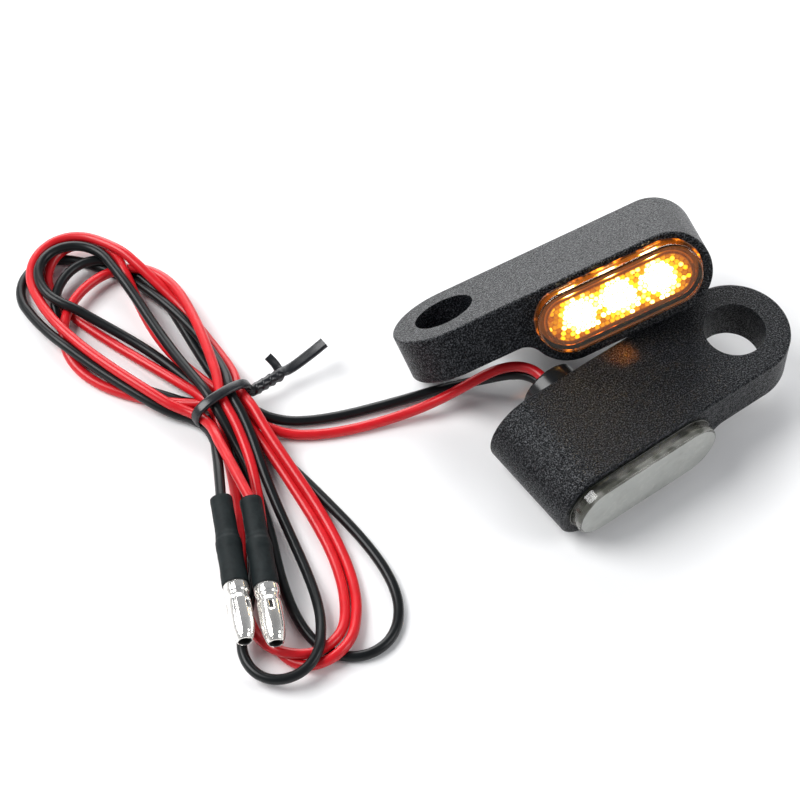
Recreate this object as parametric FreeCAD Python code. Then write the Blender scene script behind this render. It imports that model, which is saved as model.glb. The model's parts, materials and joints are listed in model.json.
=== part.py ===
"""Pair of handlebar-clamp LED turn signals with the two-core lead of one of them.

Both lamps share one shape, and the upper one is the mirror image of the lower one. Each is a short
flat arm with a clearance hole for an M10 mirror stem, and a deeper pod that holds a sealed light unit.

Lamp frame (before placing): +Z up out of the flat top face at z = 0, hole axis on Z at the origin,
pod towards -X, lens facing -Y. Row frame: the lower lamp lies flat on the ground plane z = 0 with its
long axis on X and its lens facing -Y. The upper lamp leans on it. All sizes are in millimetres.
"""
import os
from math import cos, hypot, pi, sin, sqrt, tan

import FreeCAD
import Part

os.makedirs("parts", exist_ok=True)
V = FreeCAD.Vector

# ---- housing ----
ARM_WIDTH = 18.4
ARM_THICKNESS = 8.0
STEM_HOLE_R = 5.1                # clearance for an M10 mirror stem
POD_HEIGHT = 14.0
POD_OUTER_X = -35.8              # centres of the pod's two half-round ends
POD_INNER_X = -18.0
UNDERSIDE_FILLET = 3.2           # hollow corner where the arm meets the pod
EDGE_ROUND = 0.4
PLAN_SPAN = 60.0                 # size of the block that trims the arm to its plan, longer than the lamp
LIGHT_Z = -6.5                   # middle of the pocket, the light unit and the wire way
POCKET_R = 5.5
POCKET_DEPTH = 12.4
GROMMET_X = -28.4

# ---- light unit, depths counted inwards from the housing's front face ----
LENS_R = 5.2
LENS_PROUD = 2.4
LENS_PLATE = 1.2
LENS_WALL = 1.1
LENS_DEPTH = 1.6
LENS_EDGE_ROUND = 0.45
OPTIC_THICKNESS = 0.9
FIT_GAP = 0.05
TRAY_R = 5.45
TRAY_WALL = 0.6
TRAY_BOTTOM = 0.8
TRAY_DEPTH = 11.4                # outer face of the tray's bottom
REFLECTOR_THICKNESS = 1.6
BOARD_THICKNESS = 1.0
LED_SIZE = (3.5, 1.9, 2.8)       # along X, out of the board, along Z
LED_SPACING = 7.2
LED_WINDOW_CLEARANCE = 0.2
CHIP_SIZE = (3.2, 0.6, 1.6)
CHIP_OFFSETS = ((-9.0, 2.2), (-9.0, -2.2), (4.0, 2.4), (9.0, 2.2), (9.0, -2.2))
TRAY_OUTLET_R = 2.3

# ---- grommet ----
GROMMET_FLANGE_R = 5.0
GROMMET_FLANGE = 3.2
GROMMET_NECK_R = 2.6
GROMMET_LIP_R = 3.4
GROMMET_LIP = 0.8
CORE_SPACING = 2.0               # between the two wires' axes in the grommet

# ---- lead ----
WIRE_D = 1.7
WIRE_R = WIRE_D / 2
SLEEVE_R_WIRE, SLEEVE_R_BULLET = 1.75, 2.15
SLEEVE_LENGTH = 16.0
BULLET_R = 2.0
BULLET_LENGTH = 10.2
BULLET_INSIDE = 5.0              # length of the bullet's crimp barrel inside the sleeve
BARREL_R = 1.55
BULLET_OUTLINE = (               # distance from the sleeve, radius
    (0.0, BULLET_R), (1.6, BULLET_R), (1.6, 1.75), (2.6, 1.75), (3.2, BULLET_R),
    (7.6, BULLET_R), (BULLET_LENGTH, 1.2))
BULLET_BORE_R, BULLET_BORE_DEPTH = 0.7, 4.5

# ---- placing, row frame ----
LOWER_HOLE = V(17.5, -13.45, POD_HEIGHT)
UPPER_HOLE = V(-17.6, 18.15, 11.9)
UPPER_YAW, UPPER_PITCH, UPPER_ROLL = -18.4, 19.3, 36.1

# ---- hank, held by the twist tie ----
TIE_CENTRE = V(-54.0, 29.5, 3.6)
WAIST_HALF_WIDTH, WAIST_HALF_HEIGHT, WAIST_LENGTH = 4.9, 2.5, 6.0
TIE_THICKNESS, TIE_WIDTH = 1.1, 1.6
TWIST_R = 1.0
TIE_END_THICKNESS = 0.8
TIE_SHORT_END_WIDTH = 1.1
TIE_CORE_R = 0.25
TWIST_START = V(5.2, -0.8, -0.9)              # from the tie's centre
TWIST_SPAN = V(6.0, -0.2, 0.6)
LONG_END_SPAN, SHORT_END_SPAN = V(8.7, -0.2, 2.0), V(-0.3, 3.3, 1.6)
END_OVERLAP = 0.05                            # share of the long end that lies in the twist
BACK_LOBE_CENTRE, BACK_LOBE_R, BACK_LOBE_HEIGHT = V(-59.8, 65.3, 0), 10.2, 4.9
FRONT_LOBE_CENTRE, FRONT_LOBE_R, FRONT_LOBE_HEIGHT = V(-63.4, -7.0, 0), 14.0, 3.4
LOBE_NECK_R = 3.6

# ---- routes of the wire's axis, point by point ----
WAIST_FRONT_Y = TIE_CENTRE.y - WAIST_LENGTH / 2
RED_LEAD = [
    V(-10.9, -1.05, 8.5), V(-10.9, 1.3, 8.5), V(-11.9, 3.5, 8.45), V(-13.6, 5.3, 8.0),
    V(-16.6, 6.9, 6.9), V(-21.0, 8.1, 4.8), V(-26.6, 9.8, 2.5), V(-32.6, 11.9, 1.2),
    V(-38.6, 14.0, 0.9), V(-43.8, 16.4, 0.9), V(-48.0, 19.2, 1.2), V(-50.6, 22.6, 2.0),
    V(-51.3, WAIST_FRONT_Y, 2.6)]
BLACK_LEAD = [
    V(-10.9, -1.05, 6.5), V(-10.9, 1.3, 6.5), V(-11.9, 3.5, 6.25), V(-13.6, 5.4, 5.5),
    V(-16.2, 7.6, 4.0), V(-19.4, 10.0, 2.3), V(-23.4, 12.2, 1.2), V(-28.2, 13.8, 0.9),
    V(-33.2, 15.4, 0.9), V(-38.4, 17.2, 0.9), V(-42.8, 19.2, 0.9), V(-46.4, 21.2, 1.2),
    V(-48.8, 23.6, 1.7), V(-49.6, WAIST_FRONT_Y, 2.2)]
RED_TAIL = [
    V(-54.4, WAIST_FRONT_Y, 5.0), V(-55.2, 22.6, 5.3), V(-58.8, 16.2, 5.8), V(-62.05, 9.9, 6.1)]
BLACK_TAIL = [
    V(-56.4, WAIST_FRONT_Y, 4.7), V(-58.0, 22.6, 5.1), V(-62.0, 18.2, 5.5), V(-65.6, 13.0, 5.8)]
RED_BULLET_TIP = V(-74.75, -15.1, 5.8)
BLACK_BULLET_TIP = V(-76.9, -9.1, 5.7)

ARC_SHARE = 0.45                 # share of a straight run that each bend takes
WIRE_ENDS_IN = 4.2               # depth of the board's back face, where the inner leads are soldered


# ---- helpers ----
def box(centre, size):
    """A box about its centre."""
    corner = centre - V(*size) / 2
    return Part.makeBox(size[0], size[1], size[2], corner)


def arc(centre, radius, start, end, axis="xz"):
    """A circular arc from one angle to another, in the XZ or the XY plane."""
    def at(angle):
        across, up = radius * cos(angle), radius * sin(angle)
        return centre + (V(across, 0, up) if axis == "xz" else V(across, up, 0))
    return Part.Arc(at(start), at((start + end) / 2), at(end)).toShape()


def line(start, end):
    return Part.LineSegment(start, end).toShape()


def depth_y(depth):
    """The lamp frame's y at a depth counted inwards from the housing's front face."""
    return depth - ARM_WIDTH / 2


def stadium(radius, depth_from, depth_to):
    """A block with half-round ends about the light unit's middle plane, between two depths."""
    y = depth_y(depth_from)
    outer, inner = V(POD_OUTER_X, y, LIGHT_Z), V(POD_INNER_X, y, LIGHT_Z)
    edges = [
        arc(outer, radius, pi / 2, 3 * pi / 2),
        line(outer - V(0, 0, radius), inner - V(0, 0, radius)),
        arc(inner, radius, -pi / 2, pi / 2),
        line(inner + V(0, 0, radius), outer + V(0, 0, radius))]
    return Part.Face(Part.Wire(edges)).extrude(V(0, depth_to - depth_from, 0))


def ellipse_rod(centre, half_width, half_height, length):
    """A rod of elliptical section along Y, about its centre."""
    start = centre - V(0, length / 2, 0)
    curve = Part.Ellipse(start + V(half_width, 0, 0), start + V(0, 0, half_height), start)
    return Part.Face(Part.Wire([curve.toShape()])).extrude(V(0, length, 0))


def tube_along(points, radius, name=""):
    """A round tube along straight runs joined by tangent arcs, each as large as its two runs allow."""
    edges, at, radii, path_length = [], points[0], [], 0.0
    for before, corner, after in zip(points, points[1:], points[2:]):
        run_in, run_out = (corner - before), (after - corner)
        shorter = min(run_in.Length, run_out.Length)
        turn = run_in.getAngle(run_out)
        setback = ARC_SHARE * shorter
        bend = setback / tan(turn / 2)
        into, out = V(run_in).normalize(), V(run_out).normalize()
        start, end = corner - into * setback, corner + out * setback
        middle = corner + (out - into).normalize() * (bend / cos(turn / 2) - bend)
        edges += [line(at, start), Part.Arc(start, middle, end).toShape()]
        radii.append(round(bend, 1))
        path_length += (start - at).Length + bend * turn
        at = end
    edges.append(line(at, points[-1]))
    path_length += (points[-1] - at).Length
    direction = V(points[1] - points[0]).normalize()
    section = Part.Wire([Part.Circle(points[0], direction, radius).toShape()])
    solid = Part.Wire(edges).makePipeShell([section], True, True)
    print(name, "length", round(path_length, 1), "arc radii", radii,
          "volume ratio", round(solid.Volume / (pi * radius ** 2 * path_length), 4))
    return solid


def frustum_along(start, direction, length, radius_1, radius_2):
    return Part.makeCone(radius_1, radius_2, length, start, direction)


# ---- one lamp's pieces, in the lamp frame ----
def housing():
    """Cast arm and pod: side profile and plan outline, then the hole, the pocket and the wire way."""
    half = POD_HEIGHT / 2
    fillet_z = -ARM_THICKNESS - UNDERSIDE_FILLET
    rise = fillet_z + half
    run = sqrt((half + UNDERSIDE_FILLET) ** 2 - rise ** 2)
    meet = sin_angle(rise, half + UNDERSIDE_FILLET)
    fillet_centre = V(POD_INNER_X + run, 0, fillet_z)
    outer, inner = V(POD_OUTER_X, 0, -half), V(POD_INNER_X, 0, -half)
    end_x = ARM_WIDTH
    edges = [
        arc(outer, half, pi / 2, 3 * pi / 2),
        line(outer - V(0, 0, half), inner - V(0, 0, half)),
        arc(inner, half, -pi / 2, meet),
        arc(fillet_centre, UNDERSIDE_FILLET, meet + pi, pi / 2),
        line(fillet_centre + V(0, 0, UNDERSIDE_FILLET), V(end_x, 0, -ARM_THICKNESS)),
        line(V(end_x, 0, -ARM_THICKNESS), V(end_x, 0, 0)),
        line(V(end_x, 0, 0), V(POD_OUTER_X, 0, 0))]
    side = Part.Face(Part.Wire(edges)).extrude(V(0, ARM_WIDTH, 0))
    side.translate(V(0, -ARM_WIDTH / 2, 0))
    plan = Part.makeBox(PLAN_SPAN, ARM_WIDTH, PLAN_SPAN, V(-PLAN_SPAN, -ARM_WIDTH / 2, -PLAN_SPAN / 2))
    end_round = Part.makeCylinder(ARM_WIDTH / 2, PLAN_SPAN, V(0, 0, -PLAN_SPAN / 2))
    plan = plan.fuse(end_round).removeSplitter()
    body = side.common(plan).removeSplitter()
    body = body.makeFillet(EDGE_ROUND, body.Edges)
    body = body.cut(Part.makeCylinder(STEM_HOLE_R, 3 * ARM_THICKNESS, V(0, 0, -2 * ARM_THICKNESS)))
    body = body.cut(stadium(POCKET_R, -1, POCKET_DEPTH))
    wire_way = Part.makeCylinder(GROMMET_NECK_R, ARM_WIDTH, V(GROMMET_X, 0, LIGHT_Z), V(0, 1, 0))
    return body.cut(wire_way)


def sin_angle(rise, reach):
    """The angle whose sine is rise over reach."""
    return pi / 2 - V(0, 1, 0).getAngle(V(sqrt(reach ** 2 - rise ** 2), rise, 0))


def lens():
    """Clear cap: front plate and a skirt all round, open behind."""
    outside = stadium(LENS_R, -LENS_PROUD, LENS_DEPTH)
    front_y = depth_y(-LENS_PROUD)
    front_edges = [edge for edge in outside.Edges
                   if abs(edge.BoundBox.YMax - front_y) < 1e-6]
    outside = outside.makeFillet(LENS_EDGE_ROUND, front_edges)
    return outside.cut(stadium(LENS_R - LENS_WALL, LENS_PLATE - LENS_PROUD, LENS_DEPTH + 1))


def optic():
    """Beaded plate against the inside of the lens front."""
    front = LENS_PLATE - LENS_PROUD
    return stadium(LENS_R - LENS_WALL - FIT_GAP, front, front + OPTIC_THICKNESS)


def led_places():
    """Centres of the three light-emitting diodes along the pod."""
    middle = (POD_OUTER_X + POD_INNER_X) / 2
    return [V(middle + step * LED_SPACING, 0, LIGHT_Z) for step in (-1, 0, 1)]


def reflector():
    """Plate in front of the board, with one window per diode."""
    plate = stadium(TRAY_R - TRAY_WALL - FIT_GAP, LENS_DEPTH, LENS_DEPTH + REFLECTOR_THICKNESS)
    y = depth_y(LENS_DEPTH + REFLECTOR_THICKNESS / 2)
    for place in led_places():
        window = (LED_SIZE[0] + 2 * LED_WINDOW_CLEARANCE, 2 * REFLECTOR_THICKNESS,
                  LED_SIZE[2] + 2 * LED_WINDOW_CLEARANCE)
        plate = plate.cut(box(V(place.x, y, place.z), window))
    return plate


def board_front():
    return LENS_DEPTH + REFLECTOR_THICKNESS


def circuit_board():
    return stadium(TRAY_R - TRAY_WALL - FIT_GAP, board_front(), board_front() + BOARD_THICKNESS)


def leds():
    """Three surface-mounted diodes standing on the board."""
    y = depth_y(board_front() - LED_SIZE[1] / 2)
    return Part.makeCompound([box(V(place.x, y, place.z), LED_SIZE) for place in led_places()])


def chips():
    """Resistors and the driver on the board's back."""
    y = depth_y(board_front() + BOARD_THICKNESS + CHIP_SIZE[1] / 2)
    middle = led_places()[1]
    return Part.makeCompound([box(V(middle.x + x, y, middle.z + z), CHIP_SIZE) for x, z in CHIP_OFFSETS])


def tray():
    """Cup that carries the board, with its rim under the lens skirt."""
    cup = stadium(TRAY_R, LENS_DEPTH, TRAY_DEPTH)
    cup = cup.cut(stadium(TRAY_R - TRAY_WALL, LENS_DEPTH - 1, TRAY_DEPTH - TRAY_BOTTOM))
    outlet = Part.makeCylinder(TRAY_OUTLET_R, ARM_WIDTH, V(GROMMET_X, 0, LIGHT_Z), V(0, 1, 0))
    return cup.cut(outlet)


def core_places():
    """Where the red and the black wire cross the grommet."""
    return [V(GROMMET_X, 0, LIGHT_Z + step * CORE_SPACING / 2) for step in (1, -1)]


def grommet():
    """Rubber bush in the rear wall, with a disc outside, a lip inside and two wire holes."""
    axis = V(0, 1, 0)
    rear_y = ARM_WIDTH / 2
    pocket_floor_y = depth_y(POCKET_DEPTH)
    disc = Part.makeCylinder(GROMMET_FLANGE_R, GROMMET_FLANGE, V(GROMMET_X, rear_y, LIGHT_Z), axis)
    rim = [edge for edge in disc.Edges if abs(edge.BoundBox.YMin - rear_y - GROMMET_FLANGE) < 1e-6]
    disc = disc.makeFillet(EDGE_ROUND, rim)
    neck = Part.makeCylinder(GROMMET_NECK_R, rear_y - pocket_floor_y + GROMMET_LIP,
                             V(GROMMET_X, pocket_floor_y - GROMMET_LIP, LIGHT_Z), axis)
    lip = Part.makeCylinder(GROMMET_LIP_R, GROMMET_LIP,
                            V(GROMMET_X, pocket_floor_y - GROMMET_LIP, LIGHT_Z), axis)
    body = disc.fuse(neck).fuse(lip).removeSplitter()
    for place in core_places():
        body = body.cut(Part.makeCylinder(WIRE_R, 2 * ARM_WIDTH, place - V(0, ARM_WIDTH, 0), axis))
    return body


def inner_leads():
    """The two wires from the board's back, straight out through the tray and the grommet."""
    y_from, y_to = depth_y(WIRE_ENDS_IN), ARM_WIDTH / 2 + GROMMET_FLANGE
    return Part.makeCompound([
        Part.makeCylinder(WIRE_R, y_to - y_from, V(place.x, y_from, place.z), V(0, 1, 0))
        for place in core_places()])


def potting(inside):
    """Resin that fills the tray behind the board, around everything in it."""
    fill = stadium(TRAY_R - TRAY_WALL, board_front() + BOARD_THICKNESS, TRAY_DEPTH - TRAY_BOTTOM)
    return fill.cut(Part.makeCompound(inside))


def lamp(wired):
    """Every piece of one lamp, by name."""
    pieces = {
        "housing": housing(), "lens": lens(), "optic": optic(), "reflector": reflector(),
        "circuit_board": circuit_board(), "leds": leds(), "board_chips": chips(),
        "light_tray": tray(), "grommet": grommet()}
    embedded = [pieces["board_chips"]]
    if wired:
        pieces["inner_leads"] = inner_leads()
        embedded.append(pieces["inner_leads"])
    pieces["potting"] = potting(embedded)
    return pieces


# ---- lead ----
def connector(tail_end, tip):
    """A heat-shrink sleeve over the crimp barrel of a bullet terminal."""
    direction = V(tip - tail_end).normalize()
    bullet_start = tail_end + direction * SLEEVE_LENGTH
    half_sleeve = SLEEVE_LENGTH / 2
    sleeve = frustum_along(tail_end, direction, half_sleeve, SLEEVE_R_WIRE, SLEEVE_R_BULLET)
    sleeve = sleeve.fuse(Part.makeCylinder(SLEEVE_R_BULLET, half_sleeve,
                                           tail_end + direction * half_sleeve, direction))
    barrel = Part.makeCylinder(BARREL_R, BULLET_INSIDE, bullet_start - direction * BULLET_INSIDE, direction)
    bullet = barrel
    for (along_1, radius_1), (along_2, radius_2) in zip(BULLET_OUTLINE, BULLET_OUTLINE[1:]):
        place = bullet_start + direction * along_1
        if along_2 == along_1:      # a step in the outline
            continue
        if radius_1 == radius_2:
            step = Part.makeCylinder(radius_1, along_2 - along_1, place, direction)
        else:
            step = frustum_along(place, direction, along_2 - along_1, radius_1, radius_2)
        bullet = bullet.fuse(step)
    bore = Part.makeCylinder(BULLET_BORE_R, BULLET_BORE_DEPTH + 1,
                             bullet_start + direction * (BULLET_LENGTH - BULLET_BORE_DEPTH), direction)
    bullet = bullet.cut(bore).removeSplitter()
    wire_stub = Part.makeCylinder(WIRE_R, SLEEVE_LENGTH - BULLET_INSIDE, tail_end, direction)
    return {"sleeve": sleeve.removeSplitter().cut(barrel).cut(wire_stub), "bullet": bullet,
            "wire_end": wire_stub}


def teardrop(centre, radius, height):
    """A flat lobe: the outer shape of the loops on one side of the tie."""
    neck = V(TIE_CENTRE.x, TIE_CENTRE.y, 0)
    axis = centre - neck
    away = hypot(axis.x, axis.y)
    lean = V(1, 0, 0).getAngle(axis) * (1 if axis.y > 0 else -1)
    open_angle = pi / 2 + sin_angle(radius - LOBE_NECK_R, away)
    left, right = lean + open_angle, lean - open_angle

    def on(middle, size, angle):
        return middle + V(size * cos(angle), size * sin(angle), 0)
    edges = [
        arc(centre, radius, right, left, "xy"),
        line(on(centre, radius, left), on(neck, LOBE_NECK_R, left)),
        arc(neck, LOBE_NECK_R, left, right + 2 * pi, "xy"),
        line(on(neck, LOBE_NECK_R, right), on(centre, radius, right))]
    return Part.Face(Part.Wire(edges)).extrude(V(0, 0, height))


def tie_ring():
    """The tie's loop round the bundle."""
    outer = ellipse_rod(TIE_CENTRE, WAIST_HALF_WIDTH + TIE_THICKNESS,
                        WAIST_HALF_HEIGHT + TIE_THICKNESS, TIE_WIDTH)
    return outer.cut(ellipse_rod(TIE_CENTRE, WAIST_HALF_WIDTH, WAIST_HALF_HEIGHT, 2 * TIE_WIDTH))


def hank():
    """Outer shape of the folded lead: two flat lobes of loops and the tight bundle under the tie."""
    back = teardrop(BACK_LOBE_CENTRE, BACK_LOBE_R, BACK_LOBE_HEIGHT)
    front = teardrop(FRONT_LOBE_CENTRE, FRONT_LOBE_R, FRONT_LOBE_HEIGHT)
    bundle = ellipse_rod(TIE_CENTRE, WAIST_HALF_WIDTH, WAIST_HALF_HEIGHT, WAIST_LENGTH)
    around_tie = box(TIE_CENTRE, (4 * BACK_LOBE_R, WAIST_LENGTH, 4 * BACK_LOBE_HEIGHT))
    return back.cut(around_tie).fuse(front.cut(around_tie)).fuse(bundle).removeSplitter()


def bar_along(start, end, width, height):
    """A flat bar from one point to another, its height as near to Z as it can be."""
    rod = Part.makeBox((end - start).Length, width, height, V(0, -width / 2, -height / 2))
    rod.Placement = FreeCAD.Placement(start, FreeCAD.Rotation(V(1, 0, 0), end - start))
    return rod


def twist_tie():
    """Plastic-covered tie: the loop, the twisted pair of ends, and the two ends left over."""
    side = TIE_CENTRE + TWIST_START
    twist_end = side + TWIST_SPAN
    long_end = twist_end + LONG_END_SPAN
    twist = Part.makeCylinder(TWIST_R, TWIST_SPAN.Length, side, TWIST_SPAN)
    long_bar = bar_along(twist_end - LONG_END_SPAN * END_OVERLAP, long_end, TIE_WIDTH, TIE_END_THICKNESS)
    short_bar = bar_along(twist_end, twist_end + SHORT_END_SPAN, TIE_SHORT_END_WIDTH, TIE_END_THICKNESS)
    ends = twist.fuse(long_bar).fuse(short_bar)
    bundle = ellipse_rod(TIE_CENTRE, WAIST_HALF_WIDTH, WAIST_HALF_HEIGHT, 2 * WAIST_LENGTH)
    return tie_ring().fuse(ends.cut(bundle)), [(side, twist_end), (twist_end, long_end)]


def tie_core(spans):
    """The steel wire inside the twisted part and the long end."""
    rods = [Part.makeCylinder(TIE_CORE_R, (end - start).Length, start, end - start) for start, end in spans]
    knee = Part.makeSphere(TIE_CORE_R, spans[1][0])
    return rods[0].fuse(rods[1]).fuse(knee).removeSplitter()


def lead():
    """The two wires, their connectors, the hank and its tie, in the row frame."""
    pieces = {
        "red_wire_lead": tube_along(RED_LEAD, WIRE_R, "red_wire_lead"),
        "black_wire_lead": tube_along(BLACK_LEAD, WIRE_R, "black_wire_lead")}
    leads = list(pieces.values())
    tails = []
    for colour, route, tip in (("red", RED_TAIL, RED_BULLET_TIP), ("black", BLACK_TAIL, BLACK_BULLET_TIP)):
        parts = connector(route[-1], tip)
        tail = tube_along(route, WIRE_R, colour + "_wire_tail")
        tails.append(tail)
        pieces[colour + "_wire_tail"] = tail.fuse(parts["wire_end"]).removeSplitter()
        pieces[colour + "_sleeve"] = parts["sleeve"]
        pieces[colour + "_bullet"] = parts["bullet"]
    pieces["lead_hank"] = hank().cut(Part.makeCompound(leads + tails))
    pieces["twist_tie"], spans = twist_tie()
    pieces["tie_core"] = tie_core(spans)
    pieces["twist_tie"] = pieces["twist_tie"].cut(pieces["tie_core"])
    return pieces


# ---- assembly ----
def assemble():
    """All pieces of both lamps and the lead, placed in the row frame."""
    upright = FreeCAD.Placement(LOWER_HOLE, FreeCAD.Rotation())
    turn = (FreeCAD.Rotation(V(0, 0, 1), UPPER_YAW) * FreeCAD.Rotation(V(0, 1, 0), -UPPER_PITCH)
            * FreeCAD.Rotation(V(1, 0, 0), -UPPER_ROLL))
    leaning = FreeCAD.Placement(UPPER_HOLE, turn)
    placed = {}
    for name, shape in lamp(wired=True).items():
        shape.Placement = upright
        placed["lower_" + name] = shape
    for name, shape in lamp(wired=False).items():
        mirrored = shape.mirror(V(0, 0, 0), V(1, 0, 0))
        mirrored.Placement = leaning.multiply(mirrored.Placement)
        placed["upper_" + name] = mirrored
    placed.update(lead())
    return placed


def main():
    for name, shape in assemble().items():
        shape.exportStep("parts/" + name + ".step")


main()
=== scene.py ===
"""Looks of a pair of handlebar LED turn signals, one of them lit, and of the folded lead of the other.

Everything is in metres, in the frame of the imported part: the lower lamp lies flat on the floor at
z = 0 with its long axis on X, and the upper lamp leans on it. Light-unit pieces are built in a frame
of their own, X along the pod, Y out through the lens and Z towards the lamp's flat top.
"""
import json
import math

import bmesh
import bpy
import numpy as np
from mathutils import Matrix, Vector, noise


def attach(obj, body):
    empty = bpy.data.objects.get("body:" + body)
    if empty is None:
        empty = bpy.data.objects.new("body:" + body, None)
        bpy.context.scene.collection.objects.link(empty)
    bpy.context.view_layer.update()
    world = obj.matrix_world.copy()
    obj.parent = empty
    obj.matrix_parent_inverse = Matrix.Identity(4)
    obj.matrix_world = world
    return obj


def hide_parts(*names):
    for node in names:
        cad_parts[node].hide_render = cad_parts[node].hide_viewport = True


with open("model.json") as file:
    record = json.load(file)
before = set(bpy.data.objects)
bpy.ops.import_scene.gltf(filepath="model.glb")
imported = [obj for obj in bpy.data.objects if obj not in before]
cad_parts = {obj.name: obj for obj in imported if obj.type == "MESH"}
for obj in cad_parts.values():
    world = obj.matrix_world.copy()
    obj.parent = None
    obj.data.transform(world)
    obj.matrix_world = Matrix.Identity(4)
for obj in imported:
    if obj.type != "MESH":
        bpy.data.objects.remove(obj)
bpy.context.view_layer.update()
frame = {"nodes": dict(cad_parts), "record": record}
NODES = frame["nodes"]
MOUNTS = {mount["name"]: mount for mount in frame["record"]["mounts"]}

# ---- camera ----
CAMERA_PLACE = Vector((-0.20659, -0.19907, 0.40332))
CAMERA_AIM = Vector((-0.03006, 0.01298, 0.00323))
CAMERA_ROLL = math.radians(3.23)
CAMERA_LENS = 134.2
CAMERA_SENSOR = 36.0

# ---- wires ----
WIRE_D = 0.0017
WIRE_R = WIRE_D / 2
LEAD_EXIT_RED = (-0.0109, -0.00105, 0.0085)
LEAD_EXIT_BLACK = (-0.0109, -0.00105, 0.0065)
RED_LEAD = [
    LEAD_EXIT_RED, (-.0109, .0013, .0085), (-.0119, .0035, .00845), (-.0136, .0053, .0080),
    (-.0166, .0069, .0069), (-.0210, .0081, .0048), (-.0266, .0098, .0025), (-.0326, .0119, .0012),
    (-.0386, .0140, .0009), (-.0438, .0164, .0009), (-.0480, .0192, .0012), (-.0506, .0226, .0020)]
BLACK_LEAD = [
    LEAD_EXIT_BLACK, (-.0109, .0013, .0065), (-.0119, .0035, .00625), (-.0136, .0054, .0055),
    (-.0162, .0076, .0040), (-.0194, .0100, .0023), (-.0234, .0122, .0012), (-.0282, .0138, .0009),
    (-.0332, .0154, .0009), (-.0384, .0172, .0009), (-.0428, .0192, .0009), (-.0464, .0212, .0012),
    (-.0488, .0236, .0017)]
RED_TAIL = [(-.0592, .0232, .0052), (-.0606, .0166, .0058), (-.06205, .0099, .0061)]
BLACK_TAIL = [(-.0596, .0230, .0034), (-.0623, .0183, .0049), (-.0656, .0130, .0058)]

# ---- hank ----
TIE_MIDDLE = np.array((-.0540, .0295, .0036))
ROW_STEP = 0.00148               # between two layers of wires in the tie
# where each pass of a wire lies in the tie: across, and its layer
PASSES = {
    "red_tail": (-.0036, 0), "C_right": (-.0017, 1), "F_right": (0, 1), "O_right": (.0017, 1),
    "A_right": (.0034, 0), "B_left": (-.0017, 0), "F_left": (-.0002, -.1), "red_lead": (.0017, 0),
    "black_tail": (-.00255, -1), "C_left": (-.00085, -1), "E_left": (.00085, -1),
    "black_lead": (.00255, -1)}
# each loop: side of the tie, reach, heading in degrees, how far its right and left legs bulge, bow of
# its axis, how late the right and the left leg spread, and its height in layers: right leg, tip, left leg
LOOPS = {
    "A": (1, .0442, -6.8, .0086, .0088, -.0004, .6, .6, 1.5, 3.2, 3.6),
    "B": (1, .0425, -4.0, .0060, .0060, -.0018, 2.2, 2.2, 2.0, 0.9, 0.0),
    "C": (1, .0425, -9.1, .0060, .0060, .0014, 2.6, 2.6, 3.4, 1.8, 0.8),
    "E": (1, .0373, -5.5, .0070, .0111, .0006, 1.2, .7, 0.0, 1.4, 0.0),
    "F": (1, .0335, -3.4, .0105, .0105, -.0029, .8, 1.0, 3.0, 1.4, 0.6),
    "O": (1, .0434, -12.0, .0085, .0095, .0018, .7, .6, 1.0, 0.4, 1.8),
    "a": (-1, .0488, 17.5, .0094, .0072, -.0010, .6, 2.4, 2.0, 1.4, 0.6),
    "b": (-1, .0508, 18.2, .0070, .0068, .0040, 1.6, 1.6, 1.0, 0.6, 0.6),
    "c": (-1, .0525, 25.2, .0064, .0058, .0030, 2.2, 3.0, 3.0, 2.2, 0.6),
    "d": (-1, .0511, 7.4, .0062, .0105, .0035, 2.2, 1.2, 0.0, 0.0, 0.0)}
# the order in which each wire runs through the tie and round its loops; True starts on the right leg
RED_WAY = ["red_lead", ("B", True), "B_left", ("a", False), "F_left", ("F", False), "F_right",
           ("b", False), "A_right", ("A", True), "red_tail"]
BLACK_WAY = ["black_lead", ("E", True), "E_left", ("d", True), "C_right", ("C", True), "C_left",
             ("c", False), "O_right", ("O", True), "black_tail"]

# ---- how the wires settle ----
SETTLE_SPACING = 0.0012
SHAPE_ROUNDS = 1500              # rounds that only open tight bends
SETTLE_ROUNDS = 400
SINKING_SHARE = 0.8              # share of the settling rounds in which the wires sink
SINK_STEP = 0.00002
SEARCH_EVERY = 10                # rounds between two searches for wires that are near each other
SAME_STRETCH = 4                 # points this close along one wire don't push each other
PLAN_HOLD = 0.01                 # share of a sideways shift that each round takes back
SMOOTHING = (0.35, -0.34)        # towards the middle of the neighbours and nearly all the way back
EASING_ROUNDS = 6
PUSH = 1.3                       # more than the whole overlap, as several contacts share one move
LEAST_BEND = 0.0074              # radius to which tighter bends are opened; the rest pushes a little back
CONTROL_EVERY = 2                # the spline takes every second settled point

# ---- twist tie ----
BAND_HALF_WIDE = 0.0053
BAND_HALF_HIGH = 0.00295
BAND_SQUARENESS = 0.85           # 1 is an ellipse, and less is squarer
BAND_POINTS = 28
BAND_SECTION = (.00085, .0018, .00040)     # width, height and corner radius
STRAND_SECTION = (.00155, .00086, .00032)
STRAND_RIDGE = 0.00012           # how far the core stands out of the strand's flat side
STRAND_RADIUS = 0.00054          # from the middle of the twisted pair
STRAND_TURNS = 2.25
STRAND_POINTS = 48
TIE_SIDE = (.0050, -.0009, -.0005)         # where the twist starts, from the middle of the tie
TIE_TWIST = (.0061, -.0002, .0004)         # from there to its end
# both free ends, from the end of the twist
TIE_LONG_END = [(.0012, -.0001, .0001), (.0030, -.0002, .0004), (.0050, -.0002, .0009),
                (.0070, -.0002, .0014), (.0087, -.0002, .0020)]
TIE_SHORT_END = [(.0001, .0008, .0004), (.0001, .0016, .0008), (-.0001, .0025, .0013),
                 (-.0003, .0032, .0016)]

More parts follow.
